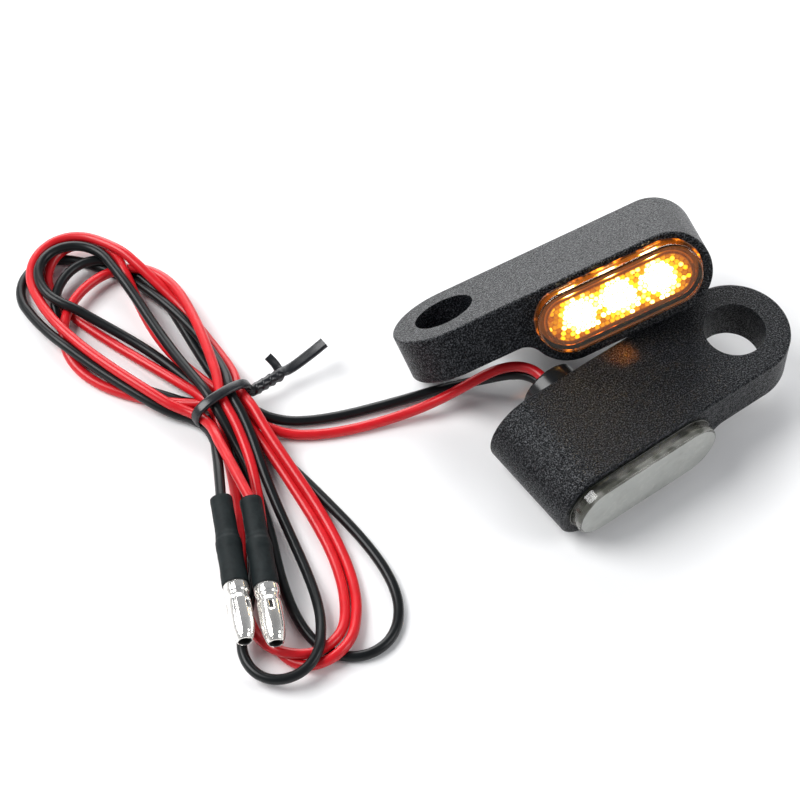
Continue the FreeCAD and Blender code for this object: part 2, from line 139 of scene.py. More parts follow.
# ---- connectors ----
SLEEVE_LENGTH = 0.016
SLEEVE_PROFILE = [               # share of the length, radius
    (0.0, .00176), (.03, .00180), (.10, .00176), (.28, .00179), (.40, .00181), (.46, .00192),
    (.51, .00208), (.56, .00210), (.62, .00203), (.74, .00204), (.90, .00213), (.985, .00215),
    (1.0, .00211)]
SLEEVE_BORE = [                  # distance from its open end, radius
    (SLEEVE_LENGTH, .00204), (SLEEVE_LENGTH - .0004, .00200), (.0012, .00092), (0.0, .00100)]
SLEEVE_WRINKLE = 0.00006
BULLET_PROFILE = [               # distance from the sleeve, radius
    (-.0006, .00170), (0.0, .00196), (.0002, .00199), (.0012, .00199), (.0015, .00194), (.0017, .00180),
    (.0020, .00177), (.0024, .00178), (.0027, .00188), (.0031, .00197), (.0036, .00198), (.0044, .00199),
    (.0056, .00201), (.0068, .00199), (.0078, .00188), (.0086, .00172), (.0093, .00154), (.0098, .00138),
    (.01005, .00124), (.0101, .00110), (.0099, .00098), (.0094, .00092), (.0070, .00090), (.0052, .00088),
    (.0051, .00030)]
BORE_ROWS = 15                   # rows of the refined profile that line the tip's bore with painted shade
SEAM_ANGLE = {"red": math.radians(150), "black": math.radians(110)}
SEAM_END = 0.0092
SEAM_DEPTH = 0.00013
SEAM_HALF_ANGLE = 0.09
WINDOW_OFF_SEAM = 1.15
WINDOW_HALF_ANGLE = 0.19
WINDOW_START, WINDOW_END = 0.0032, 0.0046
WINDOW_DEPTH = 0.00035

# ---- light units ----
BEAD_PITCH = 0.00088
BEAD_HEIGHT = 0.00022
BEAD_BORDER = 0.0005
BEAD_FADE = 0.00025              # over which the beads rise from the border
PLATE_COLUMNS, PLATE_ROWS = 250, 74
HEAT_SPREAD = (.0027, .0030)     # of the hottest beads round a diode, along and up
HEAT_RAISED = .0004
WIDE_SPREAD = (.0050, .0042)     # of the wider glow round a diode
EDGE_SPREAD, RIM_SPREAD = .0014, .0013     # of a diode's glare on the border and on the rim
EDGE_DEPTH = .00045
RIM_SHADE_HALF_WIDTH = .0017               # half width of the painted shade at a diode's window in the unlit plate's rim
DIODE_WIDTH = 0.0035
LENS_GAP = 0.00005               # between the bead plate and the lens
LENS_WALL = 0.0011
SEAL_OUTSET = 0.00015
SEAL_BACK = 0.00078              # behind the middle of the bead plate
SEAL_SECTION = (.00030, .0006, .00014)
GLINT_FROM = (-0.004, 0.005, -0.0045)      # in the lit light unit's frame
GLINT_ON = (-0.0003, -0.0064, 0.014)       # the middle of the patch, in the part's frame


# ---- node helpers ----
def add(material, kind, **values):
    """A node in a material or world, with its inputs set by name and other settings by attribute."""
    node = material.node_tree.nodes.new("ShaderNode" + kind)
    for key, value in values.items():
        if key in node.inputs:
            node.inputs[key].default_value = value
        else:
            setattr(node, key, value)
    return node


def reckoned(material, operation, second, third=0.0):
    """A math node with its second and third values set."""
    node = add(material, "Math", operation=operation)
    node.inputs[1].default_value = second
    node.inputs[2].default_value = third
    return node


def link(material, source, output, target, entry):
    material.node_tree.links.new(source.outputs[output], target.inputs[entry])


def ramp(material, *stops):
    """A colour ramp from (place, grey or colour) stops."""
    node = add(material, "ValToRGB")
    elements = node.color_ramp.elements
    while len(elements) < len(stops):
        elements.new(1.0)
    for element, (place, colour) in zip(elements, stops):
        element.position = place
        element.color = (*colour, 1.0) if isinstance(colour, tuple) else (colour, colour, colour, 1.0)
    return node


def principled(name, **values):
    """A new material and its shader, with the shader's own sockets set."""
    material = bpy.data.materials.new(name)
    material.use_nodes = True
    shader = material.node_tree.nodes["Principled BSDF"]
    for key, value in values.items():
        shader.inputs[key.replace("_", " ")].default_value = value
    return material, shader


def waves_of(material, **values):
    """Noise that is fixed to the piece."""
    waves = add(material, "TexNoise", **values)
    link(material, add(material, "TexCoord"), "Object", waves, "Vector")
    return waves


def grain(material, shader, scale, strength, distance, detail=3.0, roughness=0.55):
    """Fine relief from noise, on the shader's normal; returns the noise."""
    waves = waves_of(material, Scale=scale, Detail=detail, Roughness=roughness)
    bump = add(material, "Bump", Strength=strength, Distance=distance)
    link(material, waves, "Fac", bump, "Height")
    link(material, bump, "Normal", shader, "Normal")
    return waves


def tinted(material, shader, waves, low, high, entry="Base Color", start=0.3, end=0.7):
    """A colour or another value that follows the noise between two limits."""
    colours = ramp(material, (start, low), (end, high))
    link(material, waves, "Fac", colours, "Fac")
    link(material, colours, "Color", shader, entry)


# ---- materials ----
def powder_coat():
    """Black fine-texture powder coat: small hard-edged grains, painted shade between them, painted
    highlights on their tops, a few glittering.
    """
    material, shader = principled("powder_coat", Roughness=0.34)
    waves = grain(material, shader, 4000, 1.0, 0.00018, detail=2.0, roughness=0.6)
    # painted shade and highlight: the colour follows the grains' height, darkest in the hollows and
    # lighter on the tops
    tones = ramp(material, (0.42, (.0012, .0017, .0026)), (0.62, (.0062, .0084, .0120)),
                 (0.72, (.026, .034, .046)))
    link(material, waves, "Fac", tones, "Fac")
    link(material, tones, "Color", shader, "Base Color")
    tinted(material, shader, waves, 0.07, 0.95, "Specular IOR Level", start=0.45, end=0.70)
    pits = waves_of(material, Scale=6100, Detail=1.0)
    tinted(material, shader, pits, 0.22, 0.50, "Roughness")
    return material


def pvc(name, low, high, roughness, specular=0.4):
    """Soft plastic of a wire's insulation."""
    material, shader = principled(name, Roughness=roughness, Specular_IOR_Level=specular)
    waves = grain(material, shader, 420, 0.25, 0.00006, detail=4.0)
    tinted(material, shader, waves, low, high)
    return material


def plastic(name, low, high, roughness, scale=900, strength=0.25, distance=0.00003, specular=0.5):
    """Moulded plastic, rubber or resin with a fine grain and an uneven tone."""
    material, shader = principled(name, Roughness=roughness, Specular_IOR_Level=specular)
    waves = grain(material, shader, scale, strength, distance)
    tinted(material, shader, waves, low, high)
    return material


def tin():
    """Bright tin plate with slight waves from pressing and a tone that darkens in patches with the same
    noise.
    """
    material, shader = principled("tin_plate", Metallic=0.82, Roughness=0.12)
    waves = grain(material, shader, 240, 0.12, 0.00005, detail=1.5)
    tinted(material, shader, waves, (.90, .88, .84), (.70, .67, .62), start=0.45, end=0.8)
    return material


def clear_lens(name, colour, roughness, waves_strength):
    """Moulded clear plastic, faintly wavy."""
    material, shader = principled(
        name, Base_Color=(*colour, 1.0), Roughness=roughness, IOR=1.49, Transmission_Weight=1.0)
    grain(material, shader, 260, waves_strength, 0.00004, detail=1.5)
    return material


def frosted_front(material, front, tone):
    """Etches the lens where it faces its own front; the skirt stays clear but for painted shade in dark
    patches of its own tint.
    """
    shader = material.node_tree.nodes["Principled BSDF"]
    share = add(material, "VectorMath", operation="DOT_PRODUCT")
    share.inputs[1].default_value = front
    link(material, add(material, "TexCoord"), "Normal", share, 0)
    shifted = reckoned(material, "SUBTRACT", 0.055)
    link(material, share, "Value", shifted, 0)
    blotches = waves_of(material, Scale=900, Detail=3.0)
    uneven = reckoned(material, "MULTIPLY_ADD", 0.10)
    link(material, blotches, "Fac", uneven, 0)
    link(material, shifted, "Value", uneven, 2)
    clear = tuple(shader.inputs["Base Color"].default_value[:3])
    # painted shade: dark noise patches in the skirt's tint, for the dark inside seen through it
    painted_shade_patches = waves_of(material, Scale=300, Detail=1.0)
    skirt = ramp(material, (0.38, (.16, .16, .13)), (0.52, clear))
    link(material, painted_shade_patches, "Fac", skirt, "Fac")
    etched = ramp(material, (0.90, 0.0), (1.0, 1.0))
    link(material, uneven, "Value", etched, "Fac")
    tones = add(material, "MixRGB", Color2=(*tone, 1.0))
    link(material, etched, "Color", tones, "Fac")
    link(material, skirt, "Color", tones, "Color1")
    link(material, tones, "Color", shader, "Base Color")
    passing = ramp(material, (0.90, 0.88), (1.0, 0.30))
    matt = ramp(material, (0.90, shader.inputs["Roughness"].default_value), (1.0, 0.42))
    for node, entry in ((passing, "Transmission Weight"), (matt, "Roughness")):
        link(material, uneven, "Value", node, "Fac")
        link(material, node, "Color", shader, entry)


def unlit_optic():
    """Clear beads, with painted shade at the diode windows on the rim."""
    material, shader = principled(
        "bead_plate_clear", Roughness=0.25, IOR=1.49, Transmission_Weight=0.45)
    glow = add(material, "Attribute", attribute_name="glow")
    # the top stop is painted shade, nearly black, at each diode's window on the rim
    tones = ramp(material, (0.0, (.56, .58, .54)), (0.5, (.44, .42, .37)), (1.0, (.012, .013, .010)))
    link(material, glow, "Fac", tones, "Fac")
    link(material, tones, "Color", shader, "Base Color")
    grain(material, shader, 900, 0.2, 0.00003)
    return material


def lit_optic():
    """Beads that carry the diodes' light: dark amber, orange, yellow, then white where it is hottest."""
    material, shader = principled(
        "bead_plate_lit", Roughness=0.2, IOR=1.49, Base_Color=(.09, .025, .004, 1))
    glow = add(material, "Attribute", attribute_name="glow")
    colours = ramp(material, (0.0, (.05, .010, .001)), (.30, (.80, .20, .002)), (.50, (1.0, .45, .004)),
                   (.74, (1.0, .78, .02)), (1.0, (1.0, .98, .80)))
    rise = reckoned(material, "POWER", 5.0)
    power = reckoned(material, "MULTIPLY_ADD", 8.0, 0.60)
    link(material, glow, "Fac", colours, "Fac")
    link(material, glow, "Fac", rise, 0)
    link(material, rise, "Value", power, 0)
    link(material, colours, "Color", shader, "Emission Color")
    link(material, power, "Value", shader, "Emission Strength")
    grain(material, shader, 900, 0.2, 0.00003)
    return material


def lit_seal():
    """Sealant that catches the light in broken streaks."""
    material, shader = principled("seal_lit", Roughness=0.15, Base_Color=(.03, .012, .004, 1))
    streaks = waves_of(material, Scale=620, Detail=3.0)
    colours = ramp(material, (.46, (.03, .007, .001)), (.58, (.45, .09, .003)), (.70, (2.0, .62, .03)))
    link(material, streaks, "Fac", colours, "Fac")
    link(material, colours, "Color", shader, "Emission Color")
    shader.inputs["Emission Strength"].default_value = 1.7
    return material


def glowing(name, base, colour, strength):
    """Plastic that gives off an uneven light of its own."""
    material, shader = principled(name, Base_Color=(*base, 1), Roughness=0.4, Emission_Strength=strength)
    waves = grain(material, shader, 1500, 0.2, 0.00002)
    warm = tuple(share * part for share, part in zip((1.0, .85, .6), colour))
    tinted(material, shader, waves, warm, colour, "Emission Color")
    return material


# ---- object and mesh helpers ----
def shown(name, data):
    """A new object in the scene."""
    made = bpy.data.objects.new(name, data)
    bpy.context.scene.collection.objects.link(made)
    return made


def piece(name, points, faces, body, material, sharp=40.0):
    """A mesh piece in the part's frame that rides on a body."""
    mesh = bpy.data.meshes.new(name)
    mesh.from_pydata([tuple(p) for p in points], [], faces)
    mesh.validate()
    mesh.polygons.foreach_set("use_smooth", [True] * len(mesh.polygons))
    mesh.set_sharp_from_angle(angle=math.radians(sharp))
    mesh.materials.append(material)
    made = shown(name, mesh)
    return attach(made, body)


def grid_faces(rows, columns, around=True):
    """Faces of a grid of rows and columns, closed round its columns."""
    faces = []
    for row in range(rows - 1):
        for column in range(columns if around else columns - 1):
            after = (column + 1) % columns
            faces.append((row * columns + column, row * columns + after,
                          (row + 1) * columns + after, (row + 1) * columns + column))
    return faces


def joined_ends(rows, columns):
    """Faces from a grid's last row back to its first."""
    last = (rows - 1) * columns
    return [(last + k, last + (k + 1) % columns, (k + 1) % columns, k) for k in range(columns)]


def axis_frame(start, end):
    """A frame at start whose X points to end, with Y level."""
    x = (Vector(end) - Vector(start)).normalized()
    y = Vector((0, 0, 1)).cross(x).normalized()
    z = x.cross(y)
    return Matrix((
        (x.x, y.x, z.x, start[0]), (x.y, y.y, z.y, start[1]), (x.z, y.z, z.z, start[2]), (0, 0, 0, 1)))


def turned(profile, steps, shape):
    """Points of a turned form about X; shape may change the radius with distance and angle."""
    points = []
    for along, radius in profile:
        for step in range(steps):
            angle = 2 * math.pi * step / steps
            reach = shape(along, angle, radius)
            points.append(Vector((along, reach * math.cos(angle), reach * math.sin(angle))))
    return points


def smooth_line(points, closed=False, spacing=0.0003):
    """Points along the smooth NURBS line that has these control points."""
    curve = bpy.data.curves.new("line", "CURVE")
    curve.dimensions = "3D"
    spline = spline_of(curve, points)
    spline.use_cyclic_u = closed
    spline.use_endpoint_u = not closed
    length = sum((Vector(b) - Vector(a)).length for a, b in zip(points, points[1:]))
    spline.resolution_u = max(4, int(length / len(points) / spacing))
    holder = bpy.data.objects.new("line", curve)
    mesh = bpy.data.meshes.new_from_object(holder)
    line = [v.co.copy() for v in mesh.vertices]
    bpy.data.objects.remove(holder)
    bpy.data.meshes.remove(mesh)
    return line


def spline_of(curve, points):
    """A NURBS spline through a curve's control points, from the first to the last."""
    spline = curve.splines.new("NURBS")
    spline.points.add(len(points) - 1)
    for place, point in zip(spline.points, points):
        place.co = (*point, 1.0)
    spline.order_u = 3
    spline.use_endpoint_u = True
    return spline


def swept(line, section, up, twist=lambda share: 0.0, scale=lambda share: (1.0, 1.0), closed=False):
    """Points and faces of a section carried along a line; up keeps it from rolling."""
    points = []
    count = len(line)
    for index, place in enumerate(line):
        before = line[index - 1] if index or closed else place
        after = line[(index + 1) % count] if index < count - 1 or closed else place
        along = (after - before).normalized()
        side = along.cross(Vector(up)).normalized()
        top = side.cross(along)
        share = index / (count - 1)
        turn, (wide, high) = twist(share), scale(share)
        cos, sin = math.cos(turn), math.sin(turn)
        for across, height in section:
            a, h = across * wide, height * high
            points.append(place + side * (a * cos - h * sin) + top * (a * sin + h * cos))
    size = len(section)
    faces = grid_faces(count, size)
    if closed:
        faces += joined_ends(count, size)
    else:
        faces.append(tuple(reversed(range(size))))
        faces.append(tuple(range((count - 1) * size, count * size)))
    return points, faces


def rounded_bar(width, height, corner, steps=4):
    """Outline of a bar's section with round corners."""
    outline = []
    for cx, cy, start in ((1, 1, 0), (-1, 1, 90), (-1, -1, 180), (1, -1, 270)):
        for step in range(steps + 1):
            angle = math.radians(start + 90 * step / steps)
            outline.append((cx * (width / 2 - corner) + corner * math.cos(angle),
                            cy * (height / 2 - corner) + corner * math.sin(angle)))
    return outline


# ---- camera, floor and light ----
def make_camera():
    data = bpy.data.cameras.new("camera")
    data.lens = CAMERA_LENS
    data.sensor_width = CAMERA_SENSOR
    camera = shown("camera", data)
    camera.location = CAMERA_PLACE
    aim = (CAMERA_AIM - CAMERA_PLACE).to_track_quat("-Z", "Y").to_matrix()
    camera.rotation_euler = (aim @ Matrix.Rotation(CAMERA_ROLL, 3, "Z")).to_euler()
    bpy.context.scene.camera = camera


def aimed_light(name, kind, place, aim, power):
    """A light at a place, turned towards another."""
    data = bpy.data.lights.new(name, kind)
    data.energy = power
    light = shown(name, data)
    light.location = place
    light.rotation_euler = (Vector(aim) - Vector(place)).to_track_quat("-Z", "Y").to_euler()
    return light


def make_light(name, place, aim, size, power):
    """A round soft box that the camera doesn't see."""
    light = aimed_light(name, "AREA", place, aim, power)
    light.data.shape = "DISK"
    light.data.size = size
    light.visible_camera = False


def make_glint(place):
    """The light that the lit lens throws on the other lamp in one small patch; it moves with its lamp."""
    light = aimed_light("lens_glint", "SPOT", place @ Vector(GLINT_FROM), GLINT_ON, 0.018)
    light.data.color = (1.0, .27, .012)
    light.data.spot_size = math.radians(32)
    light.data.spot_blend = 1.0
    light.data.shadow_soft_size = 0.0008
    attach(light, "upper_lamp")


def make_studio():
    """A pale floor, two soft boxes, a fill light and a surrounding that is pale below and grey above."""
    world = bpy.data.worlds.new("studio")
    world.use_nodes = True
    bpy.context.scene.world = world
    sky = world.node_tree.nodes["Background"]
    sky.inputs["Strength"].default_value = 0.88
    place = add(world, "TexCoord")
    split = add(world, "SeparateXYZ")
    shades = ramp(world, (0.0, (.95, .95, .95)), (.10, (.90, .90, .91)), (.45, (.32, .33, .35)),
                  (1.0, (.13, .14, .16)))
    link(world, place, "Generated", split, "Vector")
    link(world, split, "Z", shades, "Fac")
    link(world, shades, "Color", sky, "Color")
    make_light("soft_box", (-0.42, 0.36, 0.62), (-0.01, 0.0, 0.0), size=0.55, power=6.8)
    make_light("fill", (0.45, -0.45, 0.50), (0.0, 0.0, 0.0), size=0.40, power=1.9)
    make_light("back", (0.30, 0.70, 0.30), (-0.01, 0.0, 0.02), size=0.80, power=7.4)
    bpy.context.scene.view_settings.view_transform = "Standard"
    floor_mesh = bpy.data.meshes.new("floor")
    radius, corners = 3.0, 64
    turn = np.linspace(0, 2 * math.pi, corners, endpoint=False)
    rim = [(radius * math.cos(a), radius * math.sin(a), 0.0) for a in turn]
    floor_mesh.from_pydata(rim, [], [tuple(range(corners))])
    floor_mesh.materials.append(
        plastic("pale_floor", (.92, .92, .92), (.94, .94, .94), 0.7, scale=40, strength=0.0, specular=0.2))
    shown("floor", floor_mesh)


# ---- cords ----
def in_tie(name):
    """Place of a pass in the tie."""
    across, layer = PASSES[name]
    return TIE_MIDDLE + np.array((across, 0, layer * ROW_STEP))


def loop_line(name, enter, leave, right_first):
    """One drop-shaped loop from one pass in the tie to the next; x is the share of the reach."""
    side, reach, heading, right, left, bow, right_power, left_power, *layers = LOOPS[name]
    angle = math.radians(heading)
    ahead = side * np.array((math.sin(angle), math.cos(angle)))
    across = np.array((math.cos(angle), -math.sin(angle)))
    turn = np.linspace(0.0, math.pi, 500)
    x = np.sin(turn)
    on_right = turn < math.pi / 2
    power = np.where(on_right, right_power, left_power)
    bulge = np.where(on_right, right, left)
    widest = (power / (1 + power)) ** (power / 2) * np.sqrt(1 / (1 + power))
    sideways = bulge / widest * x ** power * np.cos(turn) + bow * 4 * x * (1 - x)
    plan = TIE_MIDDLE[:2] + np.outer(reach * x, ahead) + np.outer(sideways, across)
    leg_layer = np.where(on_right, layers[0], layers[2])
    height = WIRE_R + WIRE_D * (layers[1] + (leg_layer - layers[1]) * np.cos(turn) ** 2)
    if not right_first:
        plan, height, x = plan[::-1], height[::-1], x[::-1]
    leaving = np.arange(len(x)) >= len(x) // 2
    pass_offset = np.where(leaving[:, None], in_tie(leave) - TIE_MIDDLE, in_tie(enter) - TIE_MIDDLE)
    near = ((1 - x) ** 3)[:, None]
    plan = plan + pass_offset[:, :2] * near
    height = height * (1 - near[:, 0]) + (TIE_MIDDLE[2] + pass_offset[:, 2]) * near[:, 0]
    return evenly(np.column_stack((plan, height)), SETTLE_SPACING)


def evenly(points, spacing):
    """The same line with evenly spaced points."""
    step = np.linalg.norm(np.diff(points, axis=0), axis=1)
    along = np.concatenate(((0,), np.cumsum(step)))
    at = np.linspace(0, along[-1], round(along[-1] / spacing) + 1)
    return np.column_stack([np.interp(at, along, points[:, k]) for k in range(3)])


def wire_line(lead, way, tail):
    """A wire's whole line and which points are held: its lead, its loops' first points and its tail."""
    parts, held = [], []

    def take(points, fixed):
        parts.append(points)
        held.append(fixed)
    take(np.array(lead), np.ones(len(lead), bool))
    bridge = evenly(np.array((lead[-1], in_tie(way[0]))), SETTLE_SPACING)[1:-1]
    take(bridge, np.zeros(len(bridge), bool))
    for place in range(1, len(way), 2):
        loop = loop_line(way[place][0], way[place - 1], way[place + 1], way[place][1])[:-1]
        take(loop, np.arange(len(loop)) == 0)
    bridge = evenly(np.array((in_tie(way[-1]), tail[0])), SETTLE_SPACING)[:-1]
    take(bridge, np.zeros(len(bridge), bool))
    take(np.array(tail), np.ones(len(tail), bool))
    return np.concatenate(parts), np.concatenate(held)


def ease_bends(at, inner, free):
    """Opens the bends that are tighter than a wire of this kind takes."""
    before, after = np.roll(at, 1, 0), np.roll(at, -1, 0)
    one, two = np.linalg.norm(at - before, axis=1), np.linalg.norm(after - at, axis=1)
    chord = (before * two[:, None] + after * one[:, None]) / (one + two)[:, None]
    off = chord - at
    far = np.linalg.norm(off, axis=1)
    excess = np.maximum(far - one * two / (2 * LEAST_BEND), 0) * inner
    move = off / np.maximum(far, 1e-9)[:, None] * excess[:, None]
    total = 0.5 * move - 0.25 * (np.roll(move, 1, 0) + np.roll(move, -1, 0))
    at[free] += total[free]


def push_off_rod(points, start, end, clear):
    """How far points have to move, mostly downwards, to stay clear of a connector."""
    axis = end - start
    share = np.clip((points - start) @ axis / (axis @ axis), 0, 1)
    gap = points - (start + share[:, None] * axis)
    far = np.linalg.norm(gap, axis=1)
    deep = far < clear
    away = gap[deep] - np.array((0, 0, 0.4 * clear))
    push = np.zeros_like(points)
    push[deep] = away / np.linalg.norm(away, axis=1)[:, None] * (clear - far[deep])[:, None]
    return push


def pairs_apart(wire, order):
    """All pairs of points that are on different wires or far enough apart along one."""
    one, other = np.triu_indices(len(wire), SAME_STRETCH)
    apart = (wire[one] != wire[other]) | (np.abs(order[one] - order[other]) > SAME_STRETCH)
    return one[apart], other[apart]


def lowered(at, start, free, inner, sinking):
    """One round of sinking, in which neighbours share their shifts and the lines are smoothed."""
    if sinking:
        at[free, 2] -= SINK_STEP
    moved = at - start
    for _ in range(2):
        mean = (np.roll(moved, 1, 0) + np.roll(moved, -1, 0)) / 2
        moved[inner] += 0.5 * (mean[inner] - moved[inner])
    at = start + moved
    at[free, :2] += PLAN_HOLD * (start[free, :2] - at[free, :2])
    for weight in SMOOTHING:
        bend = (np.roll(at, 1, 0) + np.roll(at, -1, 0)) / 2 - at
        bend[~inner] = 0
        at += weight * bend
    return at


def push_apart(at, held, a, b):
    """Moves the pairs of points a and b that are closer than a diameter away from each other."""
    gap = at[a] - at[b]
    far = np.linalg.norm(gap, axis=1)
    hit = far < WIRE_D
    first, second = a[hit], b[hit]
    push = gap[hit] / np.maximum(far[hit], 1e-9)[:, None] * (WIRE_D - far[hit])[:, None]
    first_share = np.where(held[first], 0.0, np.where(held[second], 1.0, 0.5))
    second_share = np.where(held[second], 0.0, np.where(held[first], 1.0, 0.5))
    total, count = np.zeros_like(at), np.zeros(len(at))
    np.add.at(total, first, push * first_share[:, None])
    np.add.at(total, second, -push * second_share[:, None])
    np.add.at(count, first, 1)
    np.add.at(count, second, 1)
    at += PUSH * total / np.maximum(count, 1)[:, None]


def settle(lines, rods):
    """Lays the wires down: they sink, push each other a diameter apart and stay smooth."""
    start = np.concatenate([line for line, _ in lines])
    held = np.concatenate([fixed for _, fixed in lines])
    wire = np.concatenate([np.full(len(line), k) for k, (line, _) in enumerate(lines)])
    order = np.concatenate([np.arange(len(line)) for line, _ in lines])
    free = ~held
    inside = np.zeros(len(start), bool)
    inside[1:-1] = (wire[1:-1] == wire[:-2]) & (wire[1:-1] == wire[2:])
    one, other = pairs_apart(wire, order)
    for _ in range(SHAPE_ROUNDS):
        ease_bends(start, inside, free)
    at = start.copy()
    for step in range(SETTLE_ROUNDS):
        if step % SEARCH_EVERY == 0:
            near = ((at[one] - at[other]) ** 2).sum(1) < (3 * WIRE_D) ** 2
            close = one[near], other[near]
        at = lowered(at, start, free, inside & free, step < SINKING_SHARE * SETTLE_ROUNDS)
        for _ in range(EASING_ROUNDS):
            ease_bends(at, inside, free)
        push_apart(at, held, *close)
        for rod in rods:
            at[free] += push_off_rod(at, *rod)[free]
        at[free, 2] = np.maximum(at[free, 2], WIRE_R)
    split = np.cumsum([len(line) for line, _ in lines])[:-1]
    return np.split(at, split)


def thinned(points, lead, tail):
    """Every point of the lead and the tail, and some of the settled loops' points."""
    loops = points[len(lead):len(points) - len(tail)]
    return np.concatenate((points[:len(lead)], loops[::CONTROL_EVERY], points[len(points) - len(tail):]))


def make_cord(name, points, material):
    """A round wire along a smooth line."""
    curve = bpy.data.curves.new(name, "CURVE")
    curve.dimensions = "3D"
    spline = spline_of(curve, points)
    spline.resolution_u = 6
    curve.bevel_depth = WIRE_R
    curve.bevel_resolution = 5
    curve.use_fill_caps = True
    curve.materials.append(material)
    made = shown(name, curve)
    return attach(made, "lower_lamp")


# ---- connectors ----
def connector_tip(colour):
    """Far end of a connector's axis, from its mount in the record."""
    return Vector(MOUNTS[colour + "_bullet_plug"]["pos_m"])


def make_sleeve(colour, tail_end, tip, material):
    """Heat-shrink sleeve, tight over the crimp barrel and open round the wire."""
    place = axis_frame(tail_end, tip)
    seed = 3.0 if colour == "red" else 9.0

    def shape(along, angle, radius):
        wrinkle = noise.noise(Vector((along * 420, math.cos(angle) * 1.6 + seed, math.sin(angle) * 1.6)))
        return radius + SLEEVE_WRINKLE * wrinkle
    outside = [(share * SLEEVE_LENGTH, radius) for share, radius in refined(SLEEVE_PROFILE, 5)]
    profile = outside + SLEEVE_BORE
    steps = 48
    points = [place @ p for p in turned(profile, steps, shape)]
    faces = grid_faces(len(profile), steps) + joined_ends(len(profile), steps)
    made = piece(colour + "_heat_shrink", points, faces, "lower_lamp", material, 50)
    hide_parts(colour + "_sleeve")
    return made


def refined(profile, parts):
    """A profile with smooth steps between its points."""
    made = []
    for (start, low), (end, high) in zip(profile, profile[1:]):
        for part in range(parts):
            share = part / parts
            eased = share * share * (3 - 2 * share)
            made.append((start + (end - start) * share, low + (high - low) * eased))
    return made + [profile[-1]]


def make_bullet(colour, tail_end, tip, metal, dark):
    """Pressed bullet terminal: collar, neck, split barrel with two windows, hollow tip."""
    axis = (Vector(tip) - Vector(tail_end)).normalized()
    start = Vector(tail_end) + axis * SLEEVE_LENGTH
    place = axis_frame(start, tip)
    seam = SEAM_ANGLE[colour]

    def shape(along, angle, radius):
        off = math.remainder(angle - seam, 2 * math.pi)
        groove = SEAM_DEPTH * math.exp(-(off / SEAM_HALF_ANGLE) ** 2) if along < SEAM_END else 0.0
        return radius - groove
    profile = refined(BULLET_PROFILE, 3)
    steps = 64
    points = [place @ p for p in turned(profile, steps, shape)]
    faces = grid_faces(len(profile), steps)
    faces.append(tuple(reversed(range(steps))))
    faces.append(tuple(range((len(profile) - 1) * steps, len(profile) * steps)))
    made = piece(colour + "_bullet_terminal", points, faces, "lower_lamp", metal, 60)
    # the second material is the painted shade in the windows and the bore
    made.data.materials.append(dark)
    cut_windows(made.data, profile, steps, seam)
    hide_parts(colour + "_bullet")
    return made


def cut_windows(mesh, profile, steps, seam):
    """Two small windows in the barrel and the lining of the tip's bore, all dark with painted shade."""
    form = bmesh.new()
    form.from_mesh(mesh)
    form.faces.ensure_lookup_table()
    windows = [[], []]
    for face in form.faces[: (len(profile) - 1) * steps]:
        row, column = divmod(face.index, steps)
        along = profile[row][0]
        angle = 2 * math.pi * (column + 0.5) / steps
        # material 1 paints shade into the bore and the windows
        if row >= len(profile) - BORE_ROWS:
            face.material_index = 1
        for side, where in enumerate((seam - WINDOW_OFF_SEAM, seam + WINDOW_OFF_SEAM)):
            off = abs(math.remainder(angle - where, 2 * math.pi))
            if WINDOW_START <= along < WINDOW_END and off < WINDOW_HALF_ANGLE:
                windows[side].append(face)
    for window in windows:
        bmesh.ops.inset_region(form, faces=window, thickness=0.00004, depth=-WINDOW_DEPTH)
        for face in window:
            face.material_index = 1
    form.to_mesh(mesh)
    form.free()


# ---- twist tie ----
def make_tie(material):
    """Plastic-covered wire tie: one turn round the wires, both ends twisted together, two free ends."""
    around = []
    for step in range(BAND_POINTS):
        angle = 2 * math.pi * step / BAND_POINTS
        across = BAND_HALF_WIDE * math.copysign(abs(math.cos(angle)) ** BAND_SQUARENESS, math.cos(angle))
        up = BAND_HALF_HIGH * math.copysign(abs(math.sin(angle)) ** BAND_SQUARENESS, math.sin(angle))
        around.append(TIE_MIDDLE + np.array((across, -0.0003, up)))
    line = smooth_line([Vector(p) for p in around], closed=True)
    points, faces = swept(line, rounded_bar(*BAND_SECTION), (0, 1, 0), closed=True)
    ring = piece("twist_tie_band", points, faces, "lower_lamp", material)
    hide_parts("twist_tie", "tie_core")
    side = Vector(TIE_MIDDLE) + Vector(TIE_SIDE)
    knot = side + Vector(TIE_TWIST)
    return [ring] + [tie_strand(which, side, knot, material) for which in (0, 1)]


